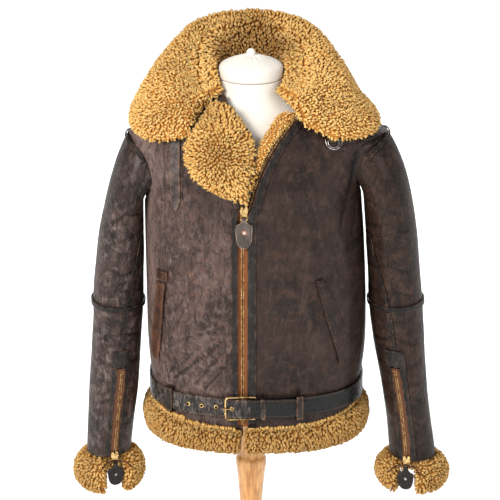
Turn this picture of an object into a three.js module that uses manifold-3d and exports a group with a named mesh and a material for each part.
// Sheepskin flying jacket worn on a limbless dress form, modelled in millimetres.
// +Z is up, the front faces -Y, and +X is the wearer's left. The origin is the centre of
// the stand's underside. Every panel is a wall laid on one body surface or sleeve surface.
import * as THREE from 'three';
import { mergeVertices } from 'three/addons/utils/BufferGeometryUtils.js';
import Module from 'manifold-3d';

const wasm = await Module();
wasm.setup();

// Driving dimensions
const HIDE = 3;              // thickness of the leather wall
const SEAM = 0.35;           // gap between pieces that are sewn together
const LAID = 0.9;            // height at which a strip lies over a panel's flat facets
const REST = 2.6;            // height at which the collar's underside clears the shoulders
const STRIP = 2;             // thickness of the leather strips sewn on top
const BELT_WIDTH = 37;
const BELT_Z = 424;          // height of the belt's middle line
const BELT_THICK = 3;
const ZIP_TAPE = 12;         // width of one half of the main zip's tape
const ZIP_X = -15.5;         // centre line of the closed main zip
const SLIDER_Z = 806;
const ELBOW = 5.25;          // place of the elbow seam among the sleeve's sections
const HEAD_END = 3;          // place where the sleeve's head meets the upper sleeve
const SLEEVE_SEAM = 0.003;   // half the gap at that join, as part of a section
const CUFF_END = 10;
const RIGHT_ANGLE = Math.PI / 2;
const DEGREE = Math.PI / 180;

// Rows of a table as objects with named columns.
function table(columns, rows) {
  const names = columns.split(' ');
  return rows.map((row) => Object.fromEntries(names.map((name, i) => [name, row[i]])));
}

// Sections of the body, from the hem up to the neck seam. Half is the half width, front
// and back are depths from the axis, zFront, zSide and zBack are heights round the ring.
const BODY = table('centre half front back zFront zSide zBack tilt square', [
  [10, 196, 149, 119, 380, 400, 390, 0, 2.5],
  [10, 198, 148, 118, 424, 424, 424, 0, 2.5],
  [11, 207, 152, 124, 500, 500, 500, 0, 2.5],
  [10, 207, 152, 128, 600, 600, 600, 0, 2.45],
  [7, 205, 151, 131, 705, 705, 705, 0.02, 2.4],
  [3, 202, 148, 132, 812, 806, 816, 0.05, 2.4],
  [6, 213, 143, 132, 852, 845, 860, 0.04, 2.35],
  [9, 227, 136, 130, 888, 881, 899, 0.025, 2.3],
  [12, 240, 128, 126, 918, 912, 930, 0.01, 2.2],
  [9, 208, 118, 117, 942, 934, 953, 0, 2.15],
  [6, 168, 106, 106, 964, 953, 972, 0, 2.1],
  [3, 122, 94, 94, 984, 972, 988, 0, 2.05],
  [1, 76, 79, 78, 1001, 990, 1000, 0, 2],
]);
const ARMPIT_ROW = 5;
const TIP_ROW = 8;
const NECK_ROW = 12;
const ARMHOLE_FRONT = 30 * DEGREE;   // how far the armhole cuts into the front
const ARMHOLE_BACK = 26 * DEGREE;
const ARMHOLE_CURVE = 0.7;           // below 1 keeps the armhole's edge upright for longer

// Largest soft folds of the body: angle round the body, height, half sizes and depth.
const BODY_FOLDS = [
  { angle: 52, z: 850, across: 13, along: 75, depth: 7 },
  { angle: 64, z: 740, across: 20, along: 90, depth: 6 },
  { angle: -63, z: 800, across: 14, along: 90, depth: 6 },
  { angle: -58, z: 610, across: 9, along: 70, depth: 4 },
  { angle: -47, z: 640, across: 8, along: 60, depth: 3.5 },
  { angle: -25, z: 490, across: 26, along: 20, depth: 3 },
  { angle: 24, z: 480, across: 30, along: 16, depth: 3 },
  { angle: 66, z: 520, across: 22, along: 34, depth: 4 },
  { angle: -72, z: 505, across: 16, along: 30, depth: 4 },
  { angle: 128, z: 800, across: 15, along: 95, depth: 7 },
  { angle: -130, z: 790, across: 15, along: 95, depth: 7 },
  { angle: 160, z: 500, across: 30, along: 20, depth: 4 },
  { angle: -150, z: 520, across: 24, along: 30, depth: 5 },
  { angle: 118, z: 540, across: 20, along: 40, depth: 4 },
];

// Sections of the sleeves: outer and inner edge seen from the front, the depth of the
// middle and the half depth. The first section is the armhole itself.
const SLEEVES = {
  right: {
    side: -1,
    rows: table('outerX outerZ innerX innerZ y depth round', [
      [-228, 912, -201, 795, 0, 92, 0],
      [-250, 868, -201.5, 774, -3, 86, 0.55],
      [-267, 812, -200, 742, -6, 80, 0.9],
      [-281, 748, -199.6, 700, -8, 75, 1],
      [-292, 678, -199.6, 652, -10, 70, 1],
      [-299, 604, -200.5, 598, -12, 65, 1],
      [-301, 548, -203, 548, -14, 62, 1],
      [-304, 490, -208, 492, -17, 59, 1],
      [-310, 424, -212, 426, -21, 55, 1],
      [-314, 354, -223, 356, -25, 51, 1],
      [-317, 286, -231, 290, -28, 47, 1],
    ]),
  },
  left: {
    side: 1,
    rows: table('outerX outerZ innerX innerZ y depth round', [
      [252, 914, 205, 816, 0, 92, 0],
      [279, 874, 209, 790, -3, 86, 0.55],
      [298, 816, 211, 756, -6, 80, 0.9],
      [309, 748, 214.2, 708, -8, 75, 1],
      [317, 678, 217, 655, -10, 70, 1],
      [324, 604, 219.6, 600, -12, 65, 1],
      [329, 548, 223, 550, -14, 62, 1],
      [331, 490, 233, 493, -17, 59, 1],
      [337, 424, 247, 426, -21, 55, 1],
      [346, 350, 260, 352, -25, 51, 1],
      [357, 278, 266, 280, -28, 48, 1],
    ]),
  },
};

// Largest folds of a sleeve: angle round it, place along it, half sizes and depth.
const SLEEVE_FOLDS = [
  { angle: 120, row: 4.3, across: 55, along: 0.35, depth: 4 },
  { angle: 70, row: 5.8, across: 50, along: 0.3, depth: 3.5 },
  { angle: 130, row: 6.6, across: 45, along: 0.35, depth: 4 },
  { angle: 40, row: 2.6, across: 40, along: 0.4, depth: 3.5 },
  { angle: -110, row: 5.6, across: 55, along: 0.35, depth: 4.5 },
  { angle: -60, row: 4.2, across: 45, along: 0.4, depth: 3.5 },
  { angle: -120, row: 7.6, across: 50, along: 0.35, depth: 3.5 },
  { angle: 60, row: 8.6, across: 50, along: 0.3, depth: 2.5 },
];

// Free edge of the wearer's left front, which is the line of the zip's teeth, by height.
const LEFT_EDGE = [
  { z: 380, x: -15.5 }, { z: 794, x: -15 }, { z: 813, x: -6 }, { z: 838, x: 0 }, { z: 868, x: 11 },
  { z: 898, x: 25 }, { z: 925, x: 43 }, { z: 954, x: 69 }, { z: 965, x: 84 }, { z: 990, x: 98 },
];
// Fold line of the wearer's right front, where it turns outwards as a lapel.
const RIGHT_EDGE = [
  { z: 380, x: -15.5 }, { z: 794, x: -15 }, { z: 818, x: -8 }, { z: 837, x: -5 }, { z: 868, x: 2 },
  { z: 903, x: 8 }, { z: 920, x: 9 }, { z: 936, x: 3 }, { z: 952, x: -9 }, { z: 968, x: -23 },
  { z: 993, x: -46 },
];
// Lapel from its bottom tip up to the collar: left and right edge by height.
const LAPEL = [
  { z: 819, left: -14, right: -8 }, { z: 826, left: -32, right: -5 }, { z: 837, left: -64, right: -2 },
  { z: 850, left: -91, right: 1 }, { z: 868, left: -110, right: 4.4 }, { z: 885, left: -119, right: 7.4 },
  { z: 903, left: -122, right: 10.2 }, { z: 920, left: -120, right: 11 }, { z: 936, left: -107, right: 4 },
  { z: 950, left: -95, right: -8 }, { z: 966, left: -80, right: -22 }, { z: 980, left: -66, right: -35 },
];
// Inner fur edge of the wearer's left front, between the lapel and the teeth.
const EDGE_FUR = [
  { z: 836, inner: -1.5, outer: -0.3 }, { z: 850, inner: 1.5, outer: 4 }, { z: 868, inner: 5, outer: 10 },
  { z: 885, inner: 8, outer: 18 }, { z: 903, inner: 11, outer: 26 }, { z: 922, inner: 14, outer: 39 },
  { z: 940, inner: 26, outer: 54 }, { z: 955, inner: 37, outer: 69 }, { z: 968, inner: 47, outer: 84 },
  { z: 984, inner: 56, outer: 90 },
];

// Collar stations by plan angle from the front: radius and height of its inner side, its
// parting, its crest and the bulge of its fall. Row is the body row of the fall's edge,
// and rise the height of its fur there.
const COLLAR = table('angle inR inZ partR partZ topR topZ fallR fallZ row rise', [
  [39, 80, 1012, 96, 1010, 112, 1008, 136, 992, 9.6, 20],
  [50, 74, 1016, 108, 1001, 128, 1006, 164, 984, 8.5, 25],
  [62, 67, 1026, 105, 1006, 135, 1020, 186, 985, 8.3, 27],
  [76, 64, 1036, 99, 1022, 138, 1040, 199, 993, 8.5, 31],
  [90, 63, 1044, 97, 1040, 136, 1056, 200, 1001, 8.9, 35],
  [104, 63, 1050, 97, 1058, 133, 1073, 187, 1012, 8.8, 33],
  [122, 63, 1056, 92, 1077, 116, 1098, 163, 1032, 8.4, 30],
  [145, 64, 1060, 80, 1089, 98, 1116, 146, 1054, 7.9, 28],
  [165, 65, 1062, 74, 1093, 89, 1120, 138, 1062, 7.5, 27],
  [180, 65, 1062, 72, 1095, 87, 1122, 136, 1064, 7.4, 27],
]);
const COLLAR_STATIONS = 31;
const COLLAR_START = -45;     // ends of the collar, as plan angles from the front
const COLLAR_END = 39;
const COLLAR_INNER = 69;      // radius at which the collar stands up beside the form's neck

const FORM_SEAM_Z = 1014;     // where the form's neck cap begins
const FORM_NECK = 60;
const FORM_BOTTOM = 392;
const PLATES = { right: -184, left: 200, dome: 0.05 };   // where the form's arm plates are cut
const BASE_RADIUS = 180;
const BASE_HEIGHT = 22;
const HEM_BOTTOM = 331;       // lowest fur of the hem and of the cuffs
const CUFF_BOTTOM = 214;
const FUR_REACH = 20;         // half thickness of the rolled fur at hem and cuffs

// Small helpers for tables and points
const lerp = (a, b, t) => a + (b - a) * t;
const clamp = (v, lo, hi) => Math.min(hi, Math.max(lo, v));
const v3 = (x, y, z) => new THREE.Vector3(x, y, z);
const range = (n) => Array.from({ length: n + 1 }, (_, i) => i / n);

function cubic(p0, p1, p2, p3, t) {
  const m1 = (p2 - p0) / 2;
  const m2 = (p3 - p1) / 2;
  const t2 = t * t;
  const t3 = t2 * t;
  return (2 * t3 - 3 * t2 + 1) * p1 + (t3 - 2 * t2 + t) * m1 + (3 * t2 - 2 * t3) * p2 + (t3 - t2) * m2;
}

// Value of every column of a table between its rows.
function sample(rows, place) {
  const last = rows.length - 1;
  const t = clamp(place, 0, last);
  const i = Math.min(Math.floor(t), last - 1);
  const at = (k) => rows[clamp(k, 0, last)];
  const out = {};
  for (const key of Object.keys(rows[0])) {
    out[key] = cubic(at(i - 1)[key], at(i)[key], at(i + 1)[key], at(i + 2)[key], t - i);
  }
  return out;
}

// Value of a column at a given value of the table's first column.
function lookup(rows, key, name, value) {
  const first = rows[0];
  const last = rows[rows.length - 1];
  if (value <= first[key]) return first[name];
  if (value >= last[key]) return last[name];
  const i = rows.findIndex((r) => r[key] > value) - 1;
  return lerp(rows[i][name], rows[i + 1][name], (value - rows[i][key]) / (rows[i + 1][key] - rows[i][key]));
}

const bell = (d, width) => Math.exp(-0.5 * (d / width) ** 2);

// Body surface: row runs from hem to neck, angle from the front towards +X.
function bodyPoint(row, angle) {
  const r = sample(BODY, row);
  const s = Math.sin(angle);
  const c = Math.cos(angle);
  const power = 2 / r.square;
  const end = c > 0 ? r.zFront : r.zBack;
  const depth = c > 0 ? r.front : r.back;
  const z = lerp(r.zSide, end, c * c);
  let inward = 0;
  for (const f of BODY_FOLDS) {
    const turn = Math.atan2(Math.sin(angle - f.angle * DEGREE), Math.cos(angle - f.angle * DEGREE));
    inward += f.depth * bell(turn * 165, f.across) * bell(z - f.z, f.along);
  }
  const x = r.centre + r.half * Math.sign(s) * Math.abs(s) ** power - inward * s;
  const y = -depth * Math.sign(c) * Math.abs(c) ** power + inward * c;
  return v3(x, y, z + r.tilt * x);
}

function normalOf(surface, u, v, du, dv) {
  const a = surface(u + du, v).sub(surface(u - du, v));
  const b = surface(u, v + dv).sub(surface(u, v - dv));
  return a.cross(b).normalize();
}

function bodyNormal(row, angle) {
  const n = normalOf(bodyPoint, clamp(row, 0.02, NECK_ROW - 0.02), angle, 0.02, 0.004);
  const p = bodyPoint(row, angle);
  return n.x * p.x + n.y * p.y < 0 ? n.negate() : n;
}

const bodyOut = (row, angle, out) => bodyPoint(row, angle).addScaledVector(bodyNormal(row, angle), out);

// Row and angle on the front where the surface has a given x and z.
function frontPlace(x, z) {
  let row = 4;
  let angle = 0;
  for (let k = 0; k < 14; k += 1) {
    let lo = 0;
    let hi = NECK_ROW;
    for (let i = 0; i < 22; i += 1) {
      const mid = (lo + hi) / 2;
      if (bodyPoint(mid, angle).z < z) lo = mid;
      else hi = mid;
    }
    row = (lo + hi) / 2;
    const r = sample(BODY, row);
    const across = clamp((x - r.centre) / r.half, -1, 1);
    angle = Math.asin(Math.sign(across) * Math.abs(across) ** (r.square / 2));
  }
  return { row, angle };
}

function frontOut(x, z, out) {
  const { row, angle } = frontPlace(x, z);
  return bodyOut(row, angle, out);
}

// Half angle that the armhole leaves to a panel at a row of the body.
function armholeCut(row, depth) {
  const t = (row - ARMPIT_ROW) / (TIP_ROW - ARMPIT_ROW);
  return t <= 0 || t >= 1 ? 0 : depth * (4 * t * (1 - t)) ** (ARMHOLE_CURVE / 2);
}

// Sleeve surface: place runs from the armhole to the cuff, turn from the shoulder
// over the front to the armpit and up the back.
function sleevePoint(sleeve, place, turn) {
  const r = sample(sleeve.rows, place);
  const c = Math.cos(turn);
  const s = Math.sin(turn);
  let scale = 1;
  for (const f of SLEEVE_FOLDS) {
    const gap = Math.atan2(Math.sin(turn - f.angle * DEGREE), Math.cos(turn - f.angle * DEGREE));
    scale -= (f.depth / 55) * bell(gap / DEGREE, f.across) * bell(place - f.row, f.along);
  }
  const x = (r.outerX + r.innerX) / 2 + scale * c * (r.outerX - r.innerX) / 2;
  const z = (r.outerZ + r.innerZ) / 2 + scale * c * (r.outerZ - r.innerZ) / 2;
  const point = v3(x, r.y - scale * s * r.depth, z);
  const blend = clamp(r.round, 0, 1);
  if (blend < 1) {
    const row = TIP_ROW - (TIP_ROW - ARMPIT_ROW) * (1 - c) / 2;
    const cut = (s > 0 ? ARMHOLE_FRONT : ARMHOLE_BACK) * Math.abs(s) ** ARMHOLE_CURVE;
    const fromFront = s > 0 ? RIGHT_ANGLE - cut : RIGHT_ANGLE + cut;
    point.lerpVectors(bodyPoint(row, sleeve.side * fromFront), point, blend);
    point.x += sleeve.side * SEAM * 2 * (1 - blend);
  }
  return point;
}

function sleeveOut(sleeve, place, turn, out) {
  const surface = (p, t) => sleevePoint(sleeve, p, t);
  const n = normalOf(surface, clamp(place, 0.05, CUFF_END - 0.05), turn, 0.04, 0.02);
  const p = sleevePoint(sleeve, place, turn);
  const opposite = sleevePoint(sleeve, place, turn + Math.PI);
  if (n.dot(p.clone().sub(opposite)) < 0) n.negate();
  return p.addScaledVector(n, out);
}

// Closed meshes from points and faces, turned to face outwards.
function solid(points, faces) {
  let volume = 0;
  for (const [a, b, c] of faces) volume += points[a].dot(points[b].clone().cross(points[c]));
  const index = volume < 0 ? faces.map(([a, b, c]) => [a, c, b]) : faces;
  const geometry = new THREE.BufferGeometry();
  geometry.setAttribute('position', new THREE.Float32BufferAttribute(points.flatMap((p) => p.toArray()), 3));
  geometry.setIndex(index.flat());
  geometry.computeVertexNormals();
  return geometry;
}

// Wall between an outer and an inner grid of points. Around joins the last column to the first.
function wall(outer, inner, around = false) {
  const rows = outer.length;
  const cols = outer[0].length;
  const points = [...outer.flat(), ...inner.flat()];
  const id = (side, i, j) => side * rows * cols + i * cols + (j % cols);
  const faces = [];
  const quad = (a, b, c, d) => faces.push([a, b, c], [a, c, d]);
  const spans = around ? cols : cols - 1;
  for (let i = 0; i < rows - 1; i += 1) {
    for (let j = 0; j < spans; j += 1) {
      quad(id(0, i, j), id(0, i, j + 1), id(0, i + 1, j + 1), id(0, i + 1, j));
      quad(id(1, i, j), id(1, i + 1, j), id(1, i + 1, j + 1), id(1, i, j + 1));
    }
  }
  for (let j = 0; j < spans; j += 1) {
    quad(id(0, 0, j), id(1, 0, j), id(1, 0, j + 1), id(0, 0, j + 1));
    quad(id(0, rows - 1, j), id(0, rows - 1, j + 1), id(1, rows - 1, j + 1), id(1, rows - 1, j));
  }
  if (!around) {
    for (let i = 0; i < rows - 1; i += 1) {
      quad(id(0, i, 0), id(0, i + 1, 0), id(1, i + 1, 0), id(1, i, 0));
      quad(id(0, i, cols - 1), id(1, i, cols - 1), id(1, i + 1, cols - 1), id(0, i + 1, cols - 1));
    }
  }
  return solid(points, faces);
}

const grid = (us, vs, at) => vs.map((v) => us.map((u) => at(u, v)));

// Solid through closed loops of points, capped flat, or joined end to end.
function loft(loops, joined = false) {
  const n = loops[0].length;
  const points = loops.flat();
  const faces = [];
  const last = joined ? loops.length : loops.length - 1;
  for (let i = 0; i < last; i += 1) {
    const a = i * n;
    const b = ((i + 1) % loops.length) * n;
    for (let j = 0; j < n; j += 1) {
      const k = (j + 1) % n;
      faces.push([a + j, a + k, b + k], [a + j, b + k, b + j]);
    }
  }
  if (!joined) {
    faces.push(...cap(loops[0], 0).map(([a, b, c]) => [a, c, b]));
    faces.push(...cap(loops[loops.length - 1], (loops.length - 1) * n));
  }
  return solid(points, faces);
}

// Triangles over a flat loop, turned the same way as the loop.
function cap(loop, start) {
  const centre = loop.reduce((sum, p) => sum.add(p), v3(0, 0, 0)).divideScalar(loop.length);
  const normal = v3(0, 0, 0);
  loop.forEach((p, i) => {
    const q = loop[(i + 1) % loop.length];
    normal.add(p.clone().sub(centre).cross(q.clone().sub(centre)));
  });
  normal.normalize();
  const right = loop[0].clone().sub(centre).projectOnPlane(normal).normalize();
  const up = normal.clone().cross(right);
  const flat = loop.map((p) => {
    const d = p.clone().sub(centre);
    return new THREE.Vector2(d.dot(right), d.dot(up));
  });
  return THREE.ShapeUtils.triangulateShape(flat, []).map((f) => f.map((i) => i + start));
}

// Round wire along a path that lies in a plane with the given normal.
const WIRE_SIDES = 6;
function bar(path, radius, plane, joined) {
  const loops = path.map((p, i) => {
    const before = path[joined ? (i + path.length - 1) % path.length : Math.max(i - 1, 0)];
    const after = path[joined ? (i + 1) % path.length : Math.min(i + 1, path.length - 1)];
    const along = after.clone().sub(before).normalize();
    const side = plane.clone().cross(along).normalize();
    return range(WIRE_SIDES - 1).map((_, k) => {
      const t = (k / WIRE_SIDES) * 2 * Math.PI;
      const rim = p.clone().addScaledVector(side, radius * Math.cos(t));
      return rim.addScaledVector(plane, radius * Math.sin(t));
    });
  });
  return loft(loops, joined);
}

function toManifold(geometry) {
  const bare = geometry.clone();
  bare.deleteAttribute('normal');
  bare.deleteAttribute('uv');
  const merged = mergeVertices(bare, 1e-4);
  return new wasm.Manifold(new wasm.Mesh({
    numProp: 3,
    vertProperties: new Float32Array(merged.attributes.position.array),
    triVerts: new Uint32Array(merged.index.array),
  }));
}

function fromManifold(body) {
  const mesh = body.getMesh();
  const geometry = new THREE.BufferGeometry();
  geometry.setAttribute('position', new THREE.Float32BufferAttribute(Array.from(mesh.vertProperties), 3));
  geometry.setIndex(Array.from(mesh.triVerts));
  geometry.computeVertexNormals();
  return geometry;
}

function finish(color, roughness, metalness = 0) {
  return new THREE.MeshStandardMaterial({ color, roughness, metalness });
}

const MATERIALS = {
  frontHide: finish(0x665a54, 0.55),
  sleeveHide: finish(0x4a3a34, 0.5),
  trim: finish(0x282524, 0.4),
  fur: finish(0xd9a05c, 0.95),
  tape: finish(0x5c3328, 0.8),
  brass: finish(0xb08a4a, 0.35, 1),
  steel: finish(0xb9b9bc, 0.25, 1),
  linen: finish(0xe9e3d6, 0.9),
  wood: finish(0xb9834c, 0.45),
};

const jacket = new THREE.Group();
jacket.name = 'flying_jacket_on_form';

function add(name, geometry, material) {
  const mesh = new THREE.Mesh(geometry, MATERIALS[material]);
  mesh.name = name;
  jacket.add(mesh);
}

// Fronts and back
function panelRows(cols, rows, limits, out) {
  return grid(range(cols), range(rows), (u, v) => {
    const row = lerp(0.004, NECK_ROW - 0.01, v);
    const [from, to] = limits(row);
    return bodyOut(row, lerp(from, to, u), out);
  });
}

// Angle of a free front edge at a row of the body, moved sideways by a margin.
function edgeAngle(table, row, margin) {
  let angle = 0;
  for (let k = 0; k < 8; k += 1) {
    const z = bodyPoint(row, angle).z;
    const r = sample(BODY, row);
    const across = clamp((lookup(table, 'z', 'x', z) + margin - r.centre) / r.half, -1, 1);
    angle = Math.asin(Math.sign(across) * Math.abs(across) ** (r.square / 2));
  }
  return angle;
}

const seamAngle = SEAM / 2 / 150;
function frontPanel(side) {
  const table = side > 0 ? LEFT_EDGE : RIGHT_EDGE;
  const limits = (row) => {
    const margin = side > 0 ? ZIP_TAPE + SEAM : lerp(-ZIP_TAPE - SEAM, 0, clamp((row - 5.5) * 5, 0, 1));
    const outer = side * (RIGHT_ANGLE - seamAngle - armholeCut(row, ARMHOLE_FRONT));
    return [edgeAngle(table, row, margin), outer];
  };
  return wall(panelRows(10, 25, limits, 0), panelRows(10, 25, limits, -HIDE));
}

function backPanel() {
  const limits = (row) => {
    const cut = RIGHT_ANGLE + seamAngle + armholeCut(row, ARMHOLE_BACK);
    return [cut, 2 * Math.PI - cut];
  };
  return wall(panelRows(16, 23, limits, 0), panelRows(16, 23, limits, -HIDE));
}

// Patch on the front between two edges given by height, raised between base and top.
function frontPatch(cols, heights, left, right, base, top) {
  const at = (depth) => grid(range(cols), heights, (u, z) => {
    const x = lerp(left(z), right(z), u);
    return frontOut(x, z, depth(u, z));
  });
  return wall(at(top), at(base));
}

const spread = (low, high, n) => range(n).map((t) => lerp(low, high, t));

// Fur pad: thin at its edges, full in its middle.
const pillow = (u) => Math.sqrt(Math.max(0, 1 - (2 * u - 1) ** 4));

function lapel() {
  const heights = spread(819.5, 979, 11);
  const full = (z) => clamp((z - 815) / 26, 0.25, 1);
  return frontPatch(8, heights, (z) => lookup(LAPEL, 'z', 'left', z), (z) => lookup(LAPEL, 'z', 'right', z),
    () => LAID, (u, z) => 4 + 19 * pillow(u) * full(z));
}

function edgeFur() {
  return frontPatch(4, spread(837, 972, 12), (z) => lookup(EDGE_FUR, 'z', 'inner', z),
    (z) => lookup(EDGE_FUR, 'z', 'outer', z), () => -11, (u) => -4 + 7 * pillow(u));
}

// Heights along the main zip, closer together where the wearer's left half turns outwards.
const ZIP_HEIGHTS = [...spread(382.5, 790, 8), ...spread(797, 962, 17)];
const RIGHT_ZIP_TOP = 816;
const zipHeights = (side) => ZIP_HEIGHTS.filter((z) => side > 0 || z < RIGHT_ZIP_TOP);

// Half of the zip's tape, sewn under the front's edge. The wearer's left half goes on up
// the free edge of its front.
const TAPE_DEPTH = -HIDE - 0.9;
function zipTape(side) {
  const table = side > 0 ? LEFT_EDGE : RIGHT_EDGE;
  const edge = (z) => lookup(table, 'z', 'x', z);
  const near = (z) => edge(z) + side * 0.6;
  const far = (z) => edge(z) + side * (ZIP_TAPE + 4);
  return frontPatch(1, zipHeights(side), near, far, () => TAPE_DEPTH - 1.4, () => TAPE_DEPTH);
}

function zipStrip(side, width) {
  const table = side > 0 ? LEFT_EDGE : RIGHT_EDGE;
  const near = (z) => lookup(table, 'z', 'x', z) + side * (ZIP_TAPE - 3);
  const far = (z) => near(z) + side * width;
  return frontPatch(1, zipHeights(side), near, far, () => LAID, () => LAID + STRIP);
}

// Section of rolled fur, as reach and height, whose top lies under the leather's edge.
const FUR_SECTION = range(8).slice(0, -1).map((t) => {
  const turn = t * 2 * Math.PI;
  const tuck = Math.max(0, Math.sin(turn)) ** 3;
  return { reach: Math.cos(turn), height: Math.sin(turn), tuck };
});
const FUR_OFFSET = { hem: 3, cuff: 10 };

// Fur rolled under the hem between two angles.
function hemFur(from, to, stations) {
  const loops = range(stations).map((t) => {
    const angle = lerp(from, to, t);
    const edge = bodyPoint(0, angle);
    const middle = (edge.z - SEAM + HEM_BOTTOM) / 2;
    const half = (edge.z - SEAM - HEM_BOTTOM) / 2;
    const outward = v3(edge.x, edge.y, 0).normalize();
    return FUR_SECTION.map(({ reach, height, tuck }) => {
      const out = reach * FUR_REACH + FUR_OFFSET.hem - tuck * (FUR_OFFSET.hem + HIDE / 2);
      return v3(edge.x + outward.x * out, edge.y + outward.y * out, middle + half * height);
    });
  });
  return loft(loops);
}

// Sleeves
const AROUND_SLEEVE = range(20).slice(0, -1).map((t) => t * 2 * Math.PI);

function sleeveTube(sleeve, from, to, rows) {
  const places = spread(from, to, rows);
  const outer = grid(AROUND_SLEEVE, places, (turn, place) => sleeveOut(sleeve, place, turn, 0));
  const inner = grid(AROUND_SLEEVE, places, (turn, place) => sleeveOut(sleeve, place, turn, -HIDE));
  return wall(outer, inner, true);
}

function sleevePatch(sleeve, turns, places, base, top, slide = () => 0) {
  const at = (out) => grid(turns, places, (turn, place) => {
    const around = turn + slide(place);
    return sleeveOut(sleeve, place, around, out);
  });
  return wall(at(top), at(base));
}

function sleeveBand(sleeve, place, width, base, top) {
  const places = [place - width, place + width];
  const at = (out) => grid(AROUND_SLEEVE, places, (turn, p) => sleeveOut(sleeve, p, turn, out));
  return wall(at(top), at(base), true);
}

const ZIP_TURN = 106 * DEGREE;
const CUFF_GAP = 20 * DEGREE;

// Fur cuff: a thick ring, open at the sleeve's zip.
function cuffFur(sleeve) {
  const end = sample(sleeve.rows, CUFF_END);
  const centre = v3((end.outerX + end.innerX) / 2, end.y, 0);
  const wide = Math.abs(end.outerX - end.innerX) / 2;
  const loops = range(16).map((t) => {
    const turn = ZIP_TURN + CUFF_GAP + t * (2 * Math.PI - 2 * CUFF_GAP);
    const dx = sleeve.side * Math.cos(turn);
    const dy = -Math.sin(turn);
    const top = lerp(end.innerZ, end.outerZ, (1 + Math.cos(turn)) / 2) - 2 * SEAM;
    return FUR_SECTION.map(({ reach, height, tuck }) => {
      const out = reach * (FUR_REACH - 1) + FUR_OFFSET.cuff - tuck * (FUR_OFFSET.cuff + HIDE / 2);
      const z = lerp(CUFF_BOTTOM, top, (1 + height) / 2);
      return v3(centre.x + dx * (wide + out), centre.y + dy * (end.depth + out), z);
    });
  });
  return loft(loops);
}

// Collar
function sampleBy(rows, key, name, value) {
  const last = rows.length - 1;
  let i = rows.findIndex((r) => r[key] > value) - 1;
  if (i < 0) i = value <= rows[0][key] ? 0 : last - 1;
  const t = clamp((value - rows[i][key]) / (rows[i + 1][key] - rows[i][key]), 0, 1);
  const at = (k) => rows[clamp(k, 0, last)][name];
  return cubic(at(i - 1), at(i), at(i + 1), at(i + 2), t);
}

// Body angle whose plan direction from the axis is a given one.
function angleTowards(row, direction) {
  let lo = direction - 0.5;
  let hi = direction + 0.5;
  for (let i = 0; i < 26; i += 1) {
    const mid = (lo + hi) / 2;
    const p = bodyPoint(row, mid);
    const off = Math.atan2(p.x, -p.y) - direction;
    if (Math.atan2(Math.sin(off), Math.cos(off)) < 0) lo = mid;
    else hi = mid;
  }
  return (lo + hi) / 2;
}

// The lobe on the wearer's right hangs a little lower near its end.
const LOBE_DROP = 0.9;
const LOBE_DROP_END = 50;

// The wearer's left side of the collar is a little narrower.
const narrowing = (station) => (station > 0 ? 9 * bell(station - 74, 22) : 0);

// The collar's fall rides over the throat strap on one side and its rings on the other.
const fallLift = (station) => 9.5 * bell(Math.abs(station) - 50, 10);

function collarSection(station) {
  const direction = station * DEGREE;
  const radial = (r, z) => v3(r * Math.sin(direction), -r * Math.cos(direction), z);
  const get = (name) => sampleBy(COLLAR, 'angle', name, Math.abs(station));
  const edge = get('row') - LOBE_DROP * clamp((LOBE_DROP_END - Math.abs(station)) / 11, 0, 1) * (station < 0);
  const lift = fallLift(station);
  const topR = get('topR') - narrowing(station) / 2;
  const fallR = get('fallR') - narrowing(station);
  const onBody = (row, out) => bodyOut(row, angleTowards(row, direction), out);
  const top = NECK_ROW - 0.05;
  const neck = onBody(top, SEAM + 0.5);
  const rim = new THREE.CatmullRomCurve3([
    radial(COLLAR_INNER, neck.z + 3),
    radial(get('inR'), get('inZ')),
    radial(get('partR'), get('partZ')),
    radial(topR, get('topZ')),
    radial(lerp(topR, fallR, 0.6), lerp(get('topZ'), get('fallZ'), 0.32)),
    radial(fallR, get('fallZ')),
    onBody(edge, get('rise')),
    onBody(edge - 0.3, get('rise') * 0.45 + lift),
  ], false, 'centripetal');
  const loop = rim.getPoints(12);
  for (const t of [0, 0.2, 0.4, 0.6, 0.8]) {
    loop.push(onBody(lerp(edge - 0.22, top, t), REST + lift * (1 - t)));
  }
  loop.push(neck);
  return loop;
}

function collar() {
  const loops = range(COLLAR_STATIONS - 1).map((t) => {
    const station = lerp(COLLAR_START, COLLAR_END - 360, t);
    return collarSection(station < -180 ? station + 360 : station);
  });
  return loft(loops);
}

// Belt: one strap from beside the buckle round the back and through the buckle again.
const STRAP_PATH = [
  { x: -80, out: 2.2 }, { x: -62, out: 2.3 }, { x: -48, out: 3 }, { x: -34, out: 8 }, { x: -20, out: 9.8 },
  { x: 0, out: 9.8 }, { x: 12, out: 9.2 }, { x: 30, out: 7 }, { x: 106, out: 6.8 },
];
const EYELETS = [-113.6, -89.5, -63.3, -34];
const EYELET_HOLE = 3.5;

function strapPlace(t) {
  const start = frontPlace(16, BELT_Z).angle;
  const endAngle = frontPlace(97, BELT_Z).angle + 2 * Math.PI;
  const angle = lerp(start, endAngle, t);
  const overlapping = angle > 1.5 * Math.PI;
  const out = overlapping ? lookup(STRAP_PATH, 'x', 'out', bodyPoint(1, angle).x) : STRAP_PATH[0].out;
  return { angle, out };
}

// Point on the belt's run round the body, at a height of its own.
const beltBase = (angle, z, out) => {
  const p = bodyPoint(1, angle);
  const n = bodyNormal(1, angle);
  n.z = 0;
  n.normalize();
  return v3(p.x + n.x * out, p.y + n.y * out, z);
};

// Clearance that the belt keeps from the panel, whose surface leans above and below it.
const BELT_STAND = 3.2;

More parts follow.
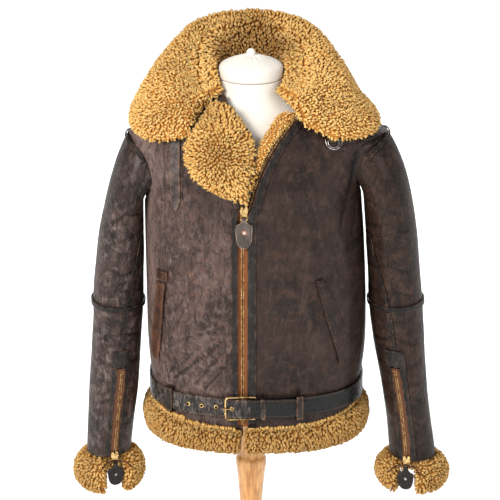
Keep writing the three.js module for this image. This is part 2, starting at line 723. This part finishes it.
function strap() {
  const steps = [...spread(0, 0.84, 34), ...spread(0.855, 1, 26)];
  const low = BELT_Z - BELT_WIDTH / 2;
  const high = BELT_Z + BELT_WIDTH / 2;
  const at = (shift) => grid([low, high], steps, (z, t) => {
    const { angle, out } = strapPlace(t);
    const point = t > 0.985 ? lerp(z, BELT_Z, (t - 0.985) / 0.015 * 0.35) : z;
    return beltBase(angle, point, BELT_STAND + out + shift);
  });
  let body = toManifold(wall(at(BELT_THICK / 2), at(-BELT_THICK / 2)));
  for (const x of EYELETS) body = body.subtract(toManifold(eyeletCutter(x)));
  return fromManifold(body);
}

// Middle of the strap at a place, and the direction that points out of it there.
function strapFrame(x) {
  const angle = frontPlace(x, BELT_Z).angle;
  const out = (xx) => BELT_STAND + lookup(STRAP_PATH, 'x', 'out', xx);
  const at = (xx) => beltBase(frontPlace(xx, BELT_Z).angle, BELT_Z, out(xx));
  const middle = beltBase(angle, BELT_Z, out(x));
  const run = at(x + 2).sub(at(x - 2)).normalize();
  const outward = run.clone().cross(v3(0, 0, 1)).normalize();
  return { middle, outward };
}

// Circle round an eyelet's axis at a distance along it from the middle of the strap.
const EYELET_SIDES = 8;
function eyeletLoop(x, along, radius) {
  const { middle, outward } = strapFrame(x);
  const side = outward.clone().cross(v3(0, 0, 1)).normalize();
  const up = side.clone().cross(outward);
  const centre = middle.addScaledVector(outward, along);
  return range(EYELET_SIDES - 1).map((_, k) => {
    const t = (k / EYELET_SIDES) * 2 * Math.PI;
    const rim = centre.clone().addScaledVector(side, radius * Math.cos(t));
    return rim.addScaledVector(up, radius * Math.sin(t));
  });
}

const eyeletCutter = (x) => loft([-2, 2].map((k) => eyeletLoop(x, k * BELT_THICK, EYELET_HOLE)));

// Brass eyelet: a flange on the strap's face and a barrel through its hole.
const EYELET = [
  { along: BELT_THICK / 2 + SEAM, radius: 3 }, { along: BELT_THICK / 2 + SEAM, radius: 4.7 },
  { along: BELT_THICK / 2 + 1.25, radius: 4.3 }, { along: BELT_THICK / 2 + 1.25, radius: 2.8 },
  { along: -BELT_THICK / 2, radius: 2.7 }, { along: -BELT_THICK / 2, radius: 3 },
];
const eyelet = (x) => loft(EYELET.map(({ along, radius }) => eyeletLoop(x, along, radius)), true);

// Strip that bridges the belt, with feet on the panel above and below it.
function bridge(x, half, clearance, reach) {
  const heights = [-reach, -reach + 3, -reach + 4, reach - 4, reach - 3, reach].map((d) => BELT_Z + d);
  const lifts = [0, 0, clearance, clearance, 0, 0];
  const at = (extra) => grid([x - half, x, x + half], [0, 1, 2, 3, 4, 5], (xx, k) => {
    const z = heights[k];
    const foot = frontOut(xx, z, SEAM + extra);
    if (lifts[k] === 0) return foot;
    return beltBase(frontPlace(xx, BELT_Z).angle, z, clearance + extra);
  });
  return wall(at(STRIP), at(0));
}

// Strips, pockets and the throat fastening
const THROAT = { topZ: 938, bottomZ: 797, left: -144, right: -127 };

function throatStrap() {
  const point = (z) => clamp((z - THROAT.bottomZ) / 14, 0.15, 1);
  const middle = (THROAT.left + THROAT.right) / 2;
  const half = (THROAT.right - THROAT.left) / 2;
  return frontPatch(2, spread(THROAT.bottomZ, THROAT.topZ, 10), (z) => middle - half * point(z),
    (z) => middle + half * point(z), () => LAID, () => LAID + 2.5);
}

// Welts of the slanted pockets, each a row from its upper to its lower end.
const WELT_LEFT = [
  { z: 496, left: 164, right: 196 }, { z: 512, left: 161, right: 192 }, { z: 560, left: 147, right: 174 },
  { z: 620, left: 130, right: 151 }, { z: 668, left: 118, right: 134 },
];
const WELT_RIGHT = [
  { z: 496, left: -190, right: -172 }, { z: 560, left: -181, right: -165 },
  { z: 620, left: -177, right: -161 }, { z: 650, left: -175, right: -158 },
];

const WELT_LIFT = { left: 1.1, right: 1.6 };

function welt(table, lift) {
  const first = table[0].z;
  const last = table[table.length - 1].z;
  return frontPatch(3, spread(first, last, 8), (z) => lookup(table, 'z', 'left', z),
    (z) => lookup(table, 'z', 'right', z), () => lift, (u) => lift + 1.6 + 1.6 * pillow(u));
}

// Tab across the upper end of the wearer's right pocket, raised in two stitched bars.
const POCKET_BARS = table('z rise', [
  [655, 2.4], [660, 2.4], [661.5, 1.1], [666.5, 1.1], [668, 2.4], [673, 2.4],
]);

function pocketBars() {
  return frontPatch(3, POCKET_BARS.map(({ z }) => z), () => -176, () => -155, () => LAID,
    (u, z) => LAID + lookup(POCKET_BARS, 'z', 'rise', z));
}

// Throat rings: a leather fold on the chest holds two D-shaped rings, one inside the other.
const RINGS = { x: 147, z: 925, seat: 0.5, fold: 14, wire: 1.1, large: 16, small: 11.5 };

// Axes on the chest at the fold: across, down the panel and outwards.
function ringFrame() {
  const { row, angle } = frontPlace(RINGS.x, RINGS.z);
  const out = bodyNormal(row, angle);
  const across = v3(1, 0, 0).addScaledVector(out, -out.x).normalize();
  const down = out.clone().cross(across).normalize();
  if (down.z > 0) down.negate();
  return { origin: bodyPoint(row, angle).addScaledVector(out, -RINGS.seat), across, down, out };
}

const ringPoint = (frame, a, b, c) => frame.origin.clone().addScaledVector(frame.across, a)
  .addScaledVector(frame.down, b).addScaledVector(frame.out, c);
const RING_OUT = 3.6;
const RING_PIVOTS = { large: 0, small: 3 };
const RING_DROPS = { large: 4, small: 2.5 };
const RING_LEAN = 0.08;       // slope at which the rings lean in towards the chest

function dRing(name) {
  const frame = ringFrame();
  const radius = RINGS[name] - RINGS.wire;
  const bottom = RING_PIVOTS[name];
  const path = [-1, -0.5, 0, 0.5, 1].map((t) => ringPoint(frame, -t * radius, bottom, RING_OUT));
  for (const t of range(12)) {
    const a = t * Math.PI;
    const hang = RING_DROPS[name] + radius * Math.sin(a);
    path.push(ringPoint(frame, -radius * Math.cos(a), bottom + hang, RING_OUT - RING_LEAN * hang));
  }
  return bar(path, RINGS.wire, frame.out, true);
}

// Folded leather that holds the rings' straight bars, open from side to side.
function ringFold() {
  const frame = ringFrame();
  const outer = [[-15, 1], [4, 1], [6.3, 2], [6.3, 5.4], [4, 6.6], [-4, 6.6], [-8, 4.6], [-15, 3.6]];
  const hole = [
    [-1.6, 2.1], [4.2, 2.1], [4.7, 2.6], [4.7, 4.6], [4.2, 5.1], [-1.6, 5.1], [-2, 4.6], [-2, 2.6],
  ];
  const at = (points, a) => points.map(([b, c]) => ringPoint(frame, a, b, c));
  const half = RINGS.fold / 2;
  const body = toManifold(loft([at(outer, -half), at(outer, half)]));
  return fromManifold(body.subtract(toManifold(loft([at(hole, -half - 2), at(hole, half + 2)]))));
}

// Buckle: a rounded frame whose left bar lies on the strap, and whose heel bar lies under it.
const BUCKLE = { left: -46, right: 10, half: 22, wire: 2.1 };

function buckle() {
  const { left, right, half, wire } = BUCKLE;
  const outAt = (x) => BELT_STAND + lerp(9, 3.4, (x - left) / (right - left));
  const corners = [];
  const round = 6;
  const rise = half - round;
  const centres = [
    [right - round, rise], [left + round, rise], [left + round, -rise], [right - round, -rise],
  ];
  centres.forEach(([x, dz], i) => {
    for (const t of range(3)) {
      const a = (i + t) * RIGHT_ANGLE;
      corners.push([x + round * Math.cos(a), dz + round * Math.sin(a)]);
    }
  });
  const path = corners.map(([x, dz]) => beltBase(frontPlace(x, BELT_Z).angle, BELT_Z + dz, outAt(x)));
  return bar(path, wire, bodyNormal(1, frontPlace((left + right) / 2, BELT_Z).angle), true);
}

const PRONG_RADIUS = 1;
const PRONG = [
  { x: 6, out: 4.1 }, { x: -16, out: 4.9 }, { x: -31, out: 5 }, { x: -33.3, out: 7.2 }, { x: -35, out: 10.2 },
  { x: -39, out: 12.4 }, { x: -50, out: 12.6 },
];

function prong() {
  const path = PRONG.map(({ x, out }) => beltBase(frontPlace(x, BELT_Z).angle, BELT_Z, BELT_STAND + out));
  return bar(path, PRONG_RADIUS, v3(0, 0, 1), false);
}

// Closed mesh of a three.js geometry, with its poles and doubled points merged.
function closed(geometry) {
  const bare = geometry.clone();
  bare.deleteAttribute('normal');
  bare.deleteAttribute('uv');
  const merged = mergeVertices(bare, 1e-4);
  const place = merged.attributes.position;
  const index = Array.from(merged.index ? merged.index.array : range(place.count - 1).map((_, i) => i));
  const points = range(place.count - 1).map((_, i) => v3(place.getX(i), place.getY(i), place.getZ(i)));
  const faces = range(index.length / 3 - 1).map((_, i) => index.slice(3 * i, 3 * i + 3));
  return solid(points, faces.filter((f) => new Set(f).size === 3));
}

// Sliders and pulls are drawn about the hinge pin, with the front towards -Y.
const SLIDER = { half: 7.4, height: 21, depth: 5.4, pinDrop: 12.5, pinOut: 9.4, pin: 1.4, lug: 5.6 };
const PULL = { eye: 3.2, bore: 1.9, eyeHalf: 4.6, neck: 9, half: 15.5, thick: 2.8 };
const MAIN_PULL = 55;        // how far a pull hangs below its pin
const CUFF_PULL = 44;

function block(sx, sy, sz, x, y, z) {
  return toManifold(closed(new THREE.BoxGeometry(sx, sy, sz).translate(x, y, z)));
}

function rod(radius, half, sides) {
  return toManifold(closed(new THREE.CylinderGeometry(radius, radius, 2 * half, sides).rotateZ(RIGHT_ANGLE)));
}

function sliderBody() {
  const { half, height, depth, pinDrop, pinOut, pin, lug } = SLIDER;
  const shape = new THREE.Shape([
    [-half * 0.62, -height / 2], [half * 0.62, -height / 2], [half, height * 0.1], [half * 0.8, height / 2],
    [half * 0.3, height / 2], [0, height * 0.2], [-half * 0.3, height / 2], [-half * 0.8, height / 2],
    [-half, height * 0.1],
  ].map(([x, z]) => new THREE.Vector2(x, z)));
  const plate = new THREE.ExtrudeGeometry(shape, { depth, bevelEnabled: false }).rotateX(RIGHT_ANGLE);
  plate.translate(0, pinOut, pinDrop);
  let body = toManifold(closed(plate)).add(rod(pin, lug + 0.8, 10));
  for (const x of [-lug, lug]) {
    const reach = pinOut - depth + 2.4;
    body = body.add(block(1.6, reach + 1.8, 3.6, x, reach / 2 - 0.9, 0.4));
    body = body.add(block(1.6, 2, 5, x, reach - 1.4, 2.6));
  }
  return body;
}

// Below this distance from the pin the leather leaf is wider than the slider's lugs.
const LEAF_SHOULDER = 4.5;

function pullBody(height) {
  const { eye, bore, eyeHalf, neck, half, thick } = PULL;
  const side = [
    [eyeHalf, -1], [eyeHalf, -LEAF_SHOULDER], [neck, -2 * LEAF_SHOULDER], [half * 0.92, -2.3 * LEAF_SHOULDER],
    [half, -3.2 * LEAF_SHOULDER], [half * 0.94, -height * 0.62],
  ];
  const shape = new THREE.Shape();
  shape.moveTo(-side[0][0], side[0][1]);
  for (const [x, z] of side.slice(1)) shape.lineTo(-x, z);
  shape.quadraticCurveTo(-half * 0.84, -height, 0, -height);
  shape.quadraticCurveTo(half * 0.84, -height, half * 0.94, -height * 0.62);
  for (const [x, z] of side.slice(0, -1).reverse()) shape.lineTo(x, z);
  const leaf = new THREE.ExtrudeGeometry(shape, { depth: thick, bevelEnabled: false, curveSegments: 5 });
  leaf.rotateX(RIGHT_ANGLE).translate(0, thick / 2, 0);
  return toManifold(closed(leaf)).add(rod(eye, eyeHalf, 12)).subtract(rod(bore, eyeHalf + 2, 12));
}

function placedBody(body, turn, point) {
  return fromManifold(body).rotateZ(turn).translate(point.x, point.y, point.z);
}

const MAIN_PIN = frontOut(-12.6, 790.5, 0).add(v3(0, HIDE - SLIDER.pinOut, 0));

// Hinge pin of a sleeve's zip and the turn of its slider about the vertical.
function sleevePin(sleeve) {
  const foot = sleeveOut(sleeve, CUFF_END - 0.06, ZIP_TURN, LAID + TAPE_THICK + 0.6 + SLIDER.pinOut);
  foot.z -= 12;
  return { point: foot, turn: -sleeve.side * (ZIP_TURN - RIGHT_ANGLE) };
}

// Sleeve zips: tape, strips beside it, slider and hanging pull
const SLEEVE_TAPE = 0.16;    // half of the tape's width, as an angle round the sleeve
const TAPE_THICK = 1.2;
function sleeveZipTape(sleeve) {
  const turns = spread(ZIP_TURN - SLEEVE_TAPE, ZIP_TURN + SLEEVE_TAPE, 2);
  return sleevePatch(sleeve, turns, spread(7.36, CUFF_END - 0.03, 8), LAID, LAID + TAPE_THICK);
}

// Leather facing round the zip: a strip down each side, joined by a patch over its top.
function zipFacing(sleeve) {
  const inner = SLEEVE_TAPE + 0.01;
  const base = LAID + 0.3;
  const strips = [[-0.36, -inner], [inner, 0.31]].map(([from, to]) => sleevePatch(
    sleeve, spread(ZIP_TURN + from, ZIP_TURN + to, 1), spread(7.2, CUFF_END - 0.03, 10), base, base + STRIP));
  const across = spread(ZIP_TURN - 0.38, ZIP_TURN + 0.33, 4);
  const patch = sleevePatch(sleeve, across, spread(6.8, 7.3, 3), base, base + STRIP + 0.2);
  return fromManifold(toManifold(patch).add(toManifold(strips[0])).add(toManifold(strips[1])));
}

// Line of the sleeve's front seam, which a narrow strip covers above and below the elbow.
const SEAM_TURN = [
  { place: 2.6, turn: 150 }, { place: 3.9, turn: 132 }, { place: 4.8, turn: 114 }, { place: 5.6, turn: 107 },
  { place: 6.8, turn: 104 },
];

function seamStrip(sleeve, from, to) {
  return sleevePatch(sleeve, [-0.07, 0.07], spread(from, to, 5), LAID, LAID + STRIP,
    (place) => lookup(SEAM_TURN, 'place', 'turn', place) * DEGREE);
}

function shoulderStrip(sleeve) {
  return sleevePatch(sleeve, spread(-1.25, 1.25, 12), [0.18, 0.48], LAID, LAID + STRIP);
}

// Sideways place on the form, flattened to a shallow dome past each arm plate.
function plated(x) {
  const flat = clamp(x, PLATES.right, PLATES.left);
  return flat + (x - flat) * PLATES.dome;
}

// Form, stand and neck cap
function formTorso() {
  const rows = spread(0, NECK_ROW - 0.7, 14);
  const turns = range(20).slice(0, -1).map((t) => t * 2 * Math.PI);
  const deep = [
    { row: 0, by: 30 }, { row: 1, by: 24 }, { row: 3, by: 24 }, { row: 5, by: 24 }, { row: 7, by: 24 },
    { row: 8, by: 16 }, { row: 9, by: 5 }, { row: 10, by: HIDE + 0.9 }, { row: 11, by: 7 },
    { row: 12, by: 14 },
  ];
  const loops = rows.map((row) => turns.map((turn) => {
    const by = lookup(deep, 'row', 'by', row);
    const front = Math.max(0, Math.cos(turn)) ** 0.5;
    const chest = row > 7 ? front * 18 * bell(row - 10, 1.6) : 0;
    const p = bodyOut(row, turn, -by - chest);
    p.x = plated(p.x);
    return p;
  }));
  const seam = [{ r: 66, z: 986 }, { r: 62, z: 999 }, { r: FORM_NECK, z: FORM_SEAM_Z - SEAM }];
  const bottom = loops[0].map((p) => v3(p.x * 0.8, p.y * 0.8, FORM_BOTTOM - 12));
  const neck = seam.map(({ r, z }) => turns.map((t) => v3(r * Math.sin(t), -r * Math.cos(t), z)));
  return loft([bottom, ...loops, ...neck]);
}

function lathe(profile, sides) {
  const geometry = new THREE.LatheGeometry(profile.map(([r, z]) => new THREE.Vector2(r, z)), sides);
  geometry.rotateX(RIGHT_ANGLE);
  return closed(geometry);
}

// Assembly
add('front_right', frontPanel(-1), 'frontHide');
add('front_left', frontPanel(1), 'frontHide');
add('back', backPanel(), 'frontHide');
for (const name of ['right', 'left']) {
  const sleeve = SLEEVES[name];
  add(`sleeve_head_${name}`, sleeveTube(sleeve, 0, HEAD_END - SLEEVE_SEAM, 6), 'sleeveHide');
  add(`sleeve_upper_${name}`, sleeveTube(sleeve, HEAD_END + SLEEVE_SEAM, ELBOW - 0.006, 4), 'sleeveHide');
  add(`sleeve_lower_${name}`, sleeveTube(sleeve, ELBOW + 0.006, CUFF_END, 8), 'sleeveHide');
  add(`elbow_band_${name}`, sleeveBand(sleeve, ELBOW, 0.09, LAID + 0.5, LAID + 0.5 + STRIP), 'trim');
  add(`cuff_fur_${name}`, cuffFur(sleeve), 'fur');
}
for (const name of ['right', 'left']) {
  const sleeve = SLEEVES[name];
  add(`shoulder_strip_${name}`, shoulderStrip(sleeve), 'trim');
  add(`seam_strip_upper_${name}`, seamStrip(sleeve, 2.7, ELBOW - 0.13), 'trim');
  add(`seam_strip_lower_${name}`, seamStrip(sleeve, ELBOW + 0.13, 6.75), 'trim');
  add(`zip_facing_${name}`, zipFacing(sleeve), 'trim');
  add(`sleeve_zip_tape_${name}`, sleeveZipTape(sleeve), 'tape');
  const pin = sleevePin(sleeve);
  add(`sleeve_slider_${name}`, placedBody(sliderBody(), pin.turn, pin.point), 'brass');
  add(`sleeve_pull_${name}`, placedBody(pullBody(CUFF_PULL), pin.turn, pin.point), 'trim');
}
add('collar', collar(), 'fur');
add('lapel', lapel(), 'fur');
add('edge_fur', edgeFur(), 'fur');
const fastening = frontPlace(ZIP_X, 400).angle;
add('hem_fur_right', hemFur(fastening - 0.02, -RIGHT_ANGLE + seamAngle, 9), 'fur');
add('hem_fur_left', hemFur(fastening + 0.02, RIGHT_ANGLE - seamAngle, 9), 'fur');
add('hem_fur_back', hemFur(RIGHT_ANGLE + seamAngle, 3 * RIGHT_ANGLE - seamAngle, 16), 'fur');
add('zip_tape_right', zipTape(-1), 'tape');
add('zip_tape_left', zipTape(1), 'tape');
add('zip_strip_right', zipStrip(-1, 11), 'trim');
add('zip_strip_left', zipStrip(1, 15), 'trim');
add('belt_strap', strap(), 'trim');
EYELETS.forEach((x, i) => add(`eyelet_${i + 1}`, eyelet(x), 'brass'));
add('zip_slider', placedBody(sliderBody(), 0, MAIN_PIN), 'brass');
add('zip_pull', placedBody(pullBody(MAIN_PULL), 0, MAIN_PIN), 'trim');
add('buckle_frame', buckle(), 'brass');
add('buckle_prong', prong(), 'brass');
add('belt_keeper', bridge(22, 4.5, BELT_STAND + 11.5, 24), 'trim');
add('belt_loop_left', bridge(88, 6, BELT_STAND + 9.2, 27), 'trim');
add('belt_loop_right', bridge(-148, 6, BELT_STAND + 4.6, 27), 'trim');
add('throat_strap', throatStrap(), 'trim');
add('ring_fold', ringFold(), 'trim');
add('throat_ring_large', dRing('large'), 'steel');
add('throat_ring_small', dRing('small'), 'steel');
add('pocket_welt_left', welt(WELT_LEFT, WELT_LIFT.left), 'frontHide');
add('pocket_welt_right', welt(WELT_RIGHT, WELT_LIFT.right), 'frontHide');
add('pocket_bars', pocketBars(), 'trim');
add('form_torso', formTorso(), 'linen');
add('neck_cap', lathe([
  [0, FORM_SEAM_Z], [FORM_NECK - 1, FORM_SEAM_Z], [FORM_NECK, FORM_SEAM_Z + 2], [FORM_NECK, 1034],
  [FORM_NECK - 3, 1040], [44, 1047], [24, 1053], [9, 1056], [8, 1063], [4, 1067], [0, 1068],
], 20), 'linen');
add('pole', lathe([
  [0, BASE_HEIGHT + SEAM], [44, BASE_HEIGHT + SEAM], [42, 32], [30, 38], [24, 46], [20, 70], [19.5, 120],
  [22, 161], [28.5, 236], [31, 240], [31, 254], [28, 258], [24, 264], [24, FORM_BOTTOM - 12.4],
  [0, FORM_BOTTOM - 12.4],
], 16), 'wood');
add('stand_base', lathe([
  [0, 0], [BASE_RADIUS - 3, 0], [BASE_RADIUS, 4], [BASE_RADIUS, 14], [BASE_RADIUS - 5, BASE_HEIGHT - 2],
  [BASE_RADIUS - 12, BASE_HEIGHT], [0, BASE_HEIGHT],
], 32), 'wood');

export default jacket;
